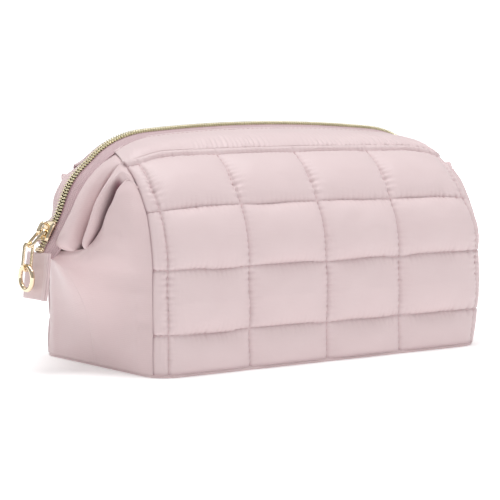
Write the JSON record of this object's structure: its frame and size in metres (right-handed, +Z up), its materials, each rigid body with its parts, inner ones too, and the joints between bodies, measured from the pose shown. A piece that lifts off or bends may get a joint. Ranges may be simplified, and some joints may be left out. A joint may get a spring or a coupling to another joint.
{
  "type": "makeup bag",
  "caption": "Quilted wide-mouth makeup bag with wire-framed zip mouth, leaning quilted walls, pleated ends and a slider with a hanging ring pull.",
  "frame": {"origin": "middle of the flat face it rests on", "axes": "+Z up, +X along the zip, the slider stands at the -X end, -Y is the front wall"},
  "size_m": [0.2922, 0.118, 0.1261],
  "materials": {
    "quilted_fabric": "matt satin weave, quilted over wadding",
    "band_fabric": "matt satin weave, plain",
    "end_fabric": "matt satin weave, plain, pleated",
    "lining": "thin smooth lining",
    "zip_tape": "ribbed woven tape",
    "zip_coil": "pale gold metallised nylon coil",
    "gold_metal": "polished pale gold plating",
    "frame_wire": "drawn spring steel",
    "base_board": "semi-rigid board"
  },
  "bodies": {
    "root": {"base_panel": "quilted_fabric", "base_board": "base_board", "base_lining": "lining", "front_panel_lower": "quilted_fabric", "back_panel_lower": "quilted_fabric", "left_gusset": "end_fabric", "right_gusset": "end_fabric", "front_lining_lower": "lining", "back_lining_lower": "lining", "left_lining": "lining", "right_lining": "lining"},
    "front_wall": {"front_panel_upper": "quilted_fabric", "front_band": "band_fabric", "front_lining_upper": "lining", "left_front_flap": "end_fabric", "right_front_flap": "end_fabric"},
    "back_wall": {"back_panel_upper": "quilted_fabric", "back_band": "band_fabric", "back_lining_upper": "lining", "left_back_flap": "end_fabric", "right_back_flap": "end_fabric"},
    "zip_ends": {"left_end_tape": "zip_tape", "right_end_tape": "zip_tape", "left_end_coil": "zip_coil", "right_end_coil": "zip_coil", "left_stop": "gold_metal", "right_stop": "gold_metal", "left_tab": "end_fabric", "right_tab": "end_fabric", "left_fold_web": "end_fabric", "right_fold_web": "end_fabric"},
    "front_frame": {"front_wire": "frame_wire", "front_casing": "band_fabric", "front_tape": "zip_tape", "front_coil": "zip_coil", "left_front_pleat": "end_fabric", "right_front_pleat": "end_fabric"},
    "back_frame": {"back_wire": "frame_wire", "back_casing": "band_fabric", "back_tape": "zip_tape", "back_coil": "zip_coil", "left_back_pleat": "end_fabric", "right_back_pleat": "end_fabric"},
    "slider": {"slider_body": "gold_metal", "slider_bail": "gold_metal"},
    "pull_connector_link": {"pull_connector": "gold_metal"},
    "pull_loop_link": {"pull_loop": "gold_metal"},
    "pull_ring_link": {"pull_ring": "gold_metal"}
  },
  "joints": [
    {"name": "front_open", "type": "hinge", "parent": "root", "child": "front_wall", "pos_m": [0, -0.059, 0.052], "axis": [1, 0, 0], "range_deg": [0, 30]},
    {"name": "back_open", "type": "hinge", "parent": "root", "child": "back_wall", "pos_m": [0, 0.059, 0.052], "axis": [-1, 0, 0], "range_deg": [0, 30]},
    {"name": "zip_lift", "type": "slide", "parent": "root", "child": "zip_ends", "axis": [0, 0, 1], "range_m": [0, 0.0361]},
    {"name": "front_frame_swing", "type": "hinge", "parent": "zip_ends", "child": "front_frame", "pos_m": [0, 0, 0.059], "axis": [1, 0, 0], "range_deg": [0, 40.1]},
    {"name": "back_frame_swing", "type": "hinge", "parent": "zip_ends", "child": "back_frame", "pos_m": [0, 0, 0.059], "axis": [-1, 0, 0], "range_deg": [0, 40.1]},
    {"name": "slider_slide", "type": "slide", "parent": "zip_ends", "child": "slider", "axis": [0.5225, 0, 0.8526], "range_m": [-0.0035, 0.004]},
    {"name": "connector_swing", "type": "hinge", "parent": "slider", "child": "pull_connector_link", "pos_m": [-0.13703, 0, 0.07244], "axis": [0, 1, 0], "range_deg": [0, 110]},
    {"name": "loop_swing", "type": "hinge", "parent": "pull_connector_link", "child": "pull_loop_link", "pos_m": [-0.14559, 0, 0.06403], "axis": [0, 1, 0], "range_deg": [-5, 90]},
    {"name": "ring_swing", "type": "hinge", "parent": "pull_loop_link", "child": "pull_ring_link", "pos_m": [-0.14707, 0, 0.05202], "axis": [1, 0, 0], "range_deg": [-60, 60]}
  ],
  "couplings": [
    {"joint": "back_open", "follows": "front_open", "ratio": 1},
    {"joint": "zip_lift", "follows": "front_open", "m_per_rad": 0.068755},
    {"joint": "front_frame_swing", "follows": "front_open", "ratio": 1.3333},
    {"joint": "back_frame_swing", "follows": "front_open", "ratio": 1.3333}
  ]
}
